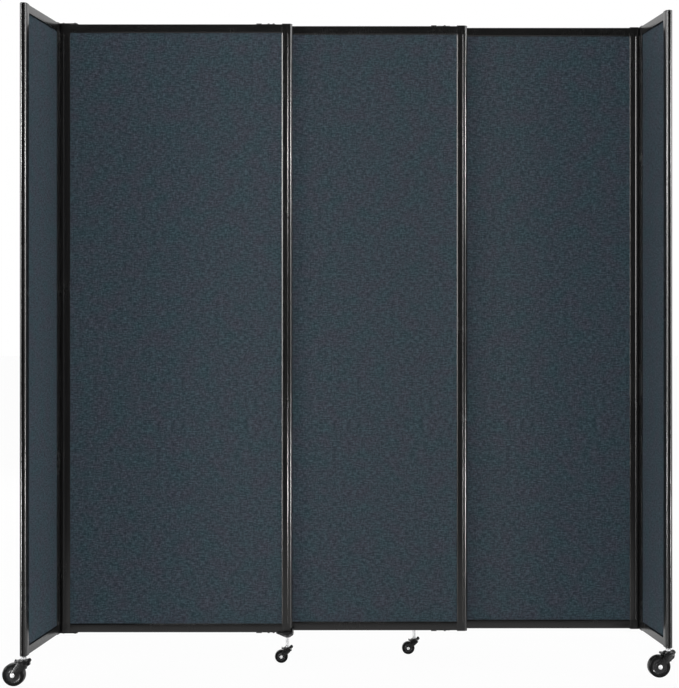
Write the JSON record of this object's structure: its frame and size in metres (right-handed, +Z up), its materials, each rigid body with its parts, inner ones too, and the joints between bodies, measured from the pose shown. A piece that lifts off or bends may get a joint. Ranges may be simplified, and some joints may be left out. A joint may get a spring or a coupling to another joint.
{
  "type": "rolling privacy screen",
  "caption": "Rolling privacy screen: three fabric panels that slide past each other, a hinged wing at each end, on braked swivel casters.",
  "frame": {"origin": "on the floor, under the middle of the whole screen as it stands drawn out", "axes": "+Z up; +X along the wall, to the right as seen from the front; -Y to the front, where the wings point; +Y to the rear"},
  "size_m": [2.2834, 0.5384, 2.2913],
  "materials": {
    "frame": "gloss black anodised extrusion",
    "fabric": "slate blue woven polyester over a board",
    "guide": "black moulded nylon",
    "hinge": "black anodised",
    "bracket": "black powder coat",
    "fork": "black painted steel",
    "stem": "bright chrome",
    "wheel": "satin black thermoplastic rubber"
  },
  "bodies": {
    "middle_panel": {"middle_stile_left": "frame", "middle_stile_right": "frame", "middle_rail_top": "frame", "middle_rail_bottom": "frame", "middle_fabric_board": "fabric", "middle_guide_over_front_top": "guide", "middle_guide_over_front_bottom": "guide", "middle_guide_over_rear_top": "guide", "middle_guide_over_rear_bottom": "guide"},
    "front_panel": {"front_stile_left": "frame", "front_stile_right": "frame", "front_rail_top": "frame", "front_rail_bottom": "frame", "front_fabric_board": "fabric", "front_guide_over_middle_top": "guide", "front_guide_over_middle_bottom": "guide", "left_wing_hinge_leaf_on_panel": "hinge", "left_hinge_strap_top": "hinge", "left_hinge_strap_bottom": "hinge", "front_caster_bracket": "bracket", "front_caster_stem": "stem"},
    "rear_panel": {"rear_stile_left": "frame", "rear_stile_right": "frame", "rear_rail_top": "frame", "rear_rail_bottom": "frame", "rear_fabric_board": "fabric", "rear_guide_over_middle_top": "guide", "rear_guide_over_middle_bottom": "guide", "right_wing_hinge_leaf_on_panel": "hinge", "rear_caster_bracket": "bracket", "rear_caster_stem": "stem"},
    "left_wing": {"left_wing_hinge_leaf_on_wing": "hinge", "left_wing_stile_left": "frame", "left_wing_stile_right": "frame", "left_wing_rail_top": "frame", "left_wing_rail_bottom": "frame", "left_wing_fabric_board": "fabric", "left_wing_caster_stem": "stem"},
    "right_wing": {"right_wing_hinge_leaf_on_wing": "hinge", "right_wing_stile_left": "frame", "right_wing_stile_right": "frame", "right_wing_rail_top": "frame", "right_wing_rail_bottom": "frame", "right_wing_fabric_board": "fabric", "right_wing_caster_stem": "stem"},
    "left_wing_caster_swivel": {"left_wing_caster_fork": "fork"},
    "left_wing_caster_wheel": {"left_wing_caster_wheel": "wheel"},
    "left_wing_caster_brake": {"left_wing_caster_brake_lever": "fork"},
    "right_wing_caster_swivel": {"right_wing_caster_fork": "fork"},
    "right_wing_caster_wheel": {"right_wing_caster_wheel": "wheel"},
    "right_wing_caster_brake": {"right_wing_caster_brake_lever": "fork"},
    "front_caster_swivel": {"front_caster_fork": "fork"},
    "front_caster_wheel": {"front_caster_wheel": "wheel"},
    "front_caster_brake": {"front_caster_brake_lever": "fork"},
    "rear_caster_swivel": {"rear_caster_fork": "fork"},
    "rear_caster_wheel": {"rear_caster_wheel": "wheel"},
    "rear_caster_brake": {"rear_caster_brake_lever": "fork"}
  },
  "joints": [
    {"name": "front_panel_slide", "type": "slide", "parent": "middle_panel", "child": "front_panel", "axis": [1, 0, 0], "range_m": [0, 0.59]},
    {"name": "rear_panel_slide", "type": "slide", "parent": "middle_panel", "child": "rear_panel", "axis": [-1, 0, 0], "range_m": [0, 0.59]},
    {"name": "left_wing_hinge", "type": "hinge", "parent": "front_panel", "child": "left_wing", "pos_m": [-1.02682, 0.14453, 1.2], "axis": [0, 0, 1], "range_deg": [-173.8, 6.2]},
    {"name": "right_wing_hinge", "type": "hinge", "parent": "rear_panel", "child": "right_wing", "pos_m": [1.08318, 0.21653, 1.2], "axis": [0, 0, 1], "range_deg": [-5.8, 174.2]},
    {"name": "left_wing_caster_swivel", "type": "hinge", "parent": "left_wing", "child": "left_wing_caster_swivel", "pos_m": [-1.06951, -0.24841, 0.089], "axis": [0, 0, 1], "continuous": true},
    {"name": "left_wing_caster_wheel_spin", "type": "hinge", "parent": "left_wing_caster_swivel", "child": "left_wing_caster_wheel", "pos_m": [-1.10282, -0.24491, 0.038], "axis": [0.1045, 0.9945, 0], "continuous": true},
    {"name": "left_wing_caster_brake_press", "type": "hinge", "parent": "left_wing_caster_swivel", "child": "left_wing_caster_brake", "pos_m": [-1.05857, -0.24956, 0.0715], "axis": [0.1045, 0.9945, 0], "range_deg": [0, 25]},
    {"name": "right_wing_caster_swivel", "type": "hinge", "parent": "right_wing", "child": "right_wing_caster_swivel", "pos_m": [1.11686, -0.11502, 0.089], "axis": [0, 0, 1], "continuous": true},
    {"name": "right_wing_caster_wheel_spin", "type": "hinge", "parent": "right_wing_caster_swivel", "child": "right_wing_caster_wheel", "pos_m": [1.08354, -0.11852, 0.038], "axis": [-0.1045, 0.9945, 0], "continuous": true},
    {"name": "right_wing_caster_brake_press", "type": "hinge", "parent": "right_wing_caster_swivel", "child": "right_wing_caster_brake", "pos_m": [1.1278, -0.11386, 0.0715], "axis": [-0.1045, 0.9945, 0], "range_deg": [0, 25]},
    {"name": "front_caster_swivel", "type": "hinge", "parent": "front_panel", "child": "front_caster_swivel", "pos_m": [-0.20082, 0.10753, 0.057], "axis": [0, 0, 1], "continuous": true},
    {"name": "front_caster_wheel_spin", "type": "hinge", "parent": "front_caster_swivel", "child": "front_caster_wheel", "pos_m": [-0.22232, 0.10753, 0.023], "axis": [0, 1, 0], "continuous": true},
    {"name": "front_caster_brake_press", "type": "hinge", "parent": "front_caster_swivel", "child": "front_caster_brake", "pos_m": [-0.19382, 0.10753, 0.0431], "axis": [0, 1, 0], "range_deg": [0, 25]},
    {"name": "rear_caster_swivel", "type": "hinge", "parent": "rear_panel", "child": "rear_caster_swivel", "pos_m": [0.25718, 0.25353, 0.057], "axis": [0, 0, 1], "continuous": true},
    {"name": "rear_caster_wheel_spin", "type": "hinge", "parent": "rear_caster_swivel", "child": "rear_caster_wheel", "pos_m": [0.23568, 0.25353, 0.023], "axis": [0, 1, 0], "continuous": true},
    {"name": "rear_caster_brake_press", "type": "hinge", "parent": "rear_caster_swivel", "child": "rear_caster_brake", "pos_m": [0.26418, 0.25353, 0.0431], "axis": [0, 1, 0], "range_deg": [0, 25]}
  ]
}
